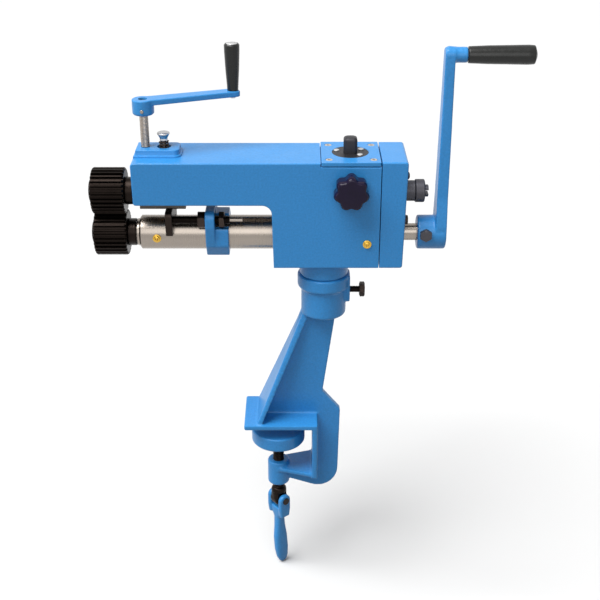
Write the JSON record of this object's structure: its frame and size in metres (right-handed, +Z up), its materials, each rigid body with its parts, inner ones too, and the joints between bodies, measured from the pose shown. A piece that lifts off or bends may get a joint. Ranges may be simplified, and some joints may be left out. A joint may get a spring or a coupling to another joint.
{
  "type": "bench bead roller",
  "caption": "Hand-cranked bench bead roller: a swivelling head with two geared forming shafts and ribbed rolls, a pressure screw, a depth gauge and a clamp stand.",
  "frame": {"origin": "on the underside of the jaw plate, where it sits on a bench top, on the clamp screw's axis", "axes": "+X along the shafts towards the crank, +Y away from the side that carries the star knob and oilers, +Z up"},
  "size_m": [0.5031, 0.1059, 0.7083],
  "materials": {
    "enamel": "glossy blue enamel",
    "black_steel": "black oxide",
    "bright_steel": "turned and polished",
    "plated": "nickel plated",
    "bronze": "turned bronze",
    "brass": "polished brass",
    "black_plastic": "moulded, glossy",
    "cast_iron": "machined and oiled"
  },
  "bodies": {
    "stand": {"clamp_stand": "enamel"},
    "swivel_lock": {"swivel_lock_bolt": "black_steel"},
    "clamp_pad": {"clamp_pad": "enamel"},
    "clamp_screw": {"clamp_screw": "black_steel"},
    "clamp_lever": {"clamp_lever": "enamel", "clamp_lever_pin": "black_steel"},
    "head": {"swivel_spigot": "enamel", "head_casting": "enamel", "gear_cover": "enamel", "cover_bolt": "black_steel", "cover_screw_front": "black_steel", "cover_screw_back": "black_steel", "top_plate": "enamel", "top_plate_screw_1": "black_steel", "top_plate_screw_2": "black_steel", "top_plate_screw_3": "black_steel", "top_plate_screw_4": "black_steel", "lower_sleeve": "bright_steel", "lower_front_bush": "bright_steel", "lower_rear_bush": "bronze", "sleeve_oiler": "brass", "body_oiler": "brass", "lift_spring": "black_steel"},
    "aligner": {"aligner_disc": "black_steel", "aligner_screw_1": "bright_steel", "aligner_screw_2": "bright_steel"},
    "star_knob": {"star_knob": "black_plastic", "star_knob_stud": "black_steel"},
    "crank": {"lower_shaft": "bright_steel", "lower_roll": "black_steel", "lower_roll_screw": "black_steel", "lower_collar": "black_steel", "lower_gear": "cast_iron", "crank_arm": "enamel", "crank_set_screw": "black_steel", "crank_spindle": "bright_steel"},
    "crank_grip": {"crank_grip": "black_plastic"},
    "rear_sleeve": {"rear_bearing_sleeve": "cast_iron"},
    "rear_ball": {"rear_bush": "bronze"},
    "upper_shaft": {"upper_shaft": "bright_steel", "upper_roll": "black_steel", "upper_roll_screw": "black_steel", "upper_collar": "black_steel", "upper_gear": "cast_iron", "rear_spacer": "black_steel", "rear_lock_nut": "black_steel"},
    "bearing_block": {"bearing_block": "cast_iron", "block_bush": "bronze", "block_screw": "black_steel", "lift_bolt": "plated"},
    "pressure_crank": {"pressure_screw": "bright_steel", "pressure_crank": "enamel", "pressure_hub_pin": "bright_steel", "pressure_grip_screw": "bright_steel"},
    "pressure_grip": {"pressure_grip": "black_plastic"},
    "gauge_carriage": {"gauge_carriage": "enamel"},
    "gauge_nut_left": {"gauge_nut_left": "black_steel"},
    "gauge_nut_right": {"gauge_nut_right": "black_steel"},
    "gauge_rod": {"gauge_rod": "bright_steel", "gauge_stop": "black_steel"}
  },
  "joints": [
    {"name": "swivel_lock_turn", "type": "hinge", "parent": "stand", "child": "swivel_lock", "pos_m": [0.088, 0, 0.179], "axis": [1, 0, 0], "range_deg": [-90, 360]},
    {"name": "clamp_pad_travel", "type": "slide", "parent": "stand", "child": "clamp_pad", "axis": [0, 0, 1], "range_m": [-0.02, 0.008]},
    {"name": "clamp_screw_turn", "type": "hinge", "parent": "clamp_pad", "child": "clamp_screw", "pos_m": [0, 0, -0.1], "axis": [0, 0, 1], "range_deg": [-3620, 1460]},
    {"name": "clamp_lever_fold", "type": "hinge", "parent": "clamp_screw", "child": "clamp_lever", "pos_m": [0, 0, -0.128], "axis": [0.6428, -0.766, 0], "range_deg": [-90, 90]},
    {"name": "head_swivel", "type": "hinge", "parent": "stand", "child": "head", "pos_m": [0.0565, 0, 0.2025], "axis": [0, 0, 1], "range_deg": [-180, 180]},
    {"name": "aligner_turn", "type": "hinge", "parent": "head", "child": "aligner", "pos_m": [0.08525, 0, 0.352], "axis": [0, 0, 1], "range_deg": [-25, 25]},
    {"name": "upper_shaft_shift", "type": "slide", "parent": "head", "child": "rear_sleeve", "axis": [1, 0, 0], "range_m": [-0.00087, 0.00087]},
    {"name": "upper_shaft_tilt", "type": "hinge", "parent": "rear_sleeve", "child": "rear_ball", "pos_m": [0.08525, 0, 0.3055], "axis": [0, 1, 0], "range_deg": [0, 1.42]},
    {"name": "upper_shaft_spin", "type": "hinge", "parent": "rear_ball", "child": "upper_shaft", "pos_m": [0.08525, 0, 0.3055], "axis": [1, 0, 0], "continuous": true},
    {"name": "star_knob_turn", "type": "hinge", "parent": "head", "child": "star_knob", "pos_m": [0.08525, -0.045, 0.322], "axis": [0, 1, 0], "range_deg": [-360, 360]},
    {"name": "crank_turn", "type": "hinge", "parent": "head", "child": "crank", "pos_m": [0.1, 0, 0.254], "axis": [1, 0, 0], "continuous": true},
    {"name": "crank_grip_spin", "type": "hinge", "parent": "crank", "child": "crank_grip", "pos_m": [0.25, 0, 0.4635], "axis": [1, 0, 0], "continuous": true},
    {"name": "block_lift", "type": "slide", "parent": "head", "child": "bearing_block", "axis": [0, 0, 1], "range_m": [0, 0.00525], "deforming": ["lift_spring"]},
    {"name": "pressure_screw_turn", "type": "hinge", "parent": "bearing_block", "child": "pressure_crank", "pos_m": [-0.1475, 0, 0.4], "axis": [0, 0, 1], "range_deg": [0, 1280]},
    {"name": "pressure_grip_spin", "type": "hinge", "parent": "pressure_crank", "child": "pressure_grip", "pos_m": [-0.04883, 0.03591, 0.44], "axis": [0, 0, 1], "continuous": true},
    {"name": "gauge_carriage_slide", "type": "slide", "parent": "head", "child": "gauge_carriage", "axis": [1, 0, 0], "range_m": [-0.02, 0.025]},
    {"name": "gauge_nut_left_turn", "type": "hinge", "parent": "gauge_carriage", "child": "gauge_nut_left", "pos_m": [-0.085, -0.02, 0.277], "axis": [1, 0, 0], "range_deg": [-1820, 1820]},
    {"name": "gauge_nut_right_turn", "type": "hinge", "parent": "gauge_carriage", "child": "gauge_nut_right", "pos_m": [-0.062, -0.02, 0.277], "axis": [1, 0, 0], "range_deg": [-1820, 1820]},
    {"name": "gauge_rod_slide", "type": "slide", "parent": "gauge_carriage", "child": "gauge_rod", "axis": [1, 0, 0], "range_m": [-0.0075, 0.0075]}
  ],
  "couplings": [
    {"joint": "clamp_screw_turn", "follows": "clamp_pad_travel", "rad_per_m": 3141.6},
    {"joint": "aligner_turn", "follows": "upper_shaft_shift", "rad_per_m": 500},
    {"joint": "upper_shaft_spin", "follows": "crank_turn", "ratio": -1},
    {"joint": "pressure_screw_turn", "follows": "block_lift", "rad_per_m": 4188.8},
    {"joint": "upper_shaft_tilt", "follows": "block_lift", "rad_per_m": 4.6609},
    {"joint": "gauge_nut_left_turn", "follows": "gauge_rod_slide", "rad_per_m": -4188.8},
    {"joint": "gauge_nut_right_turn", "follows": "gauge_rod_slide", "rad_per_m": -4188.8}
  ]
}
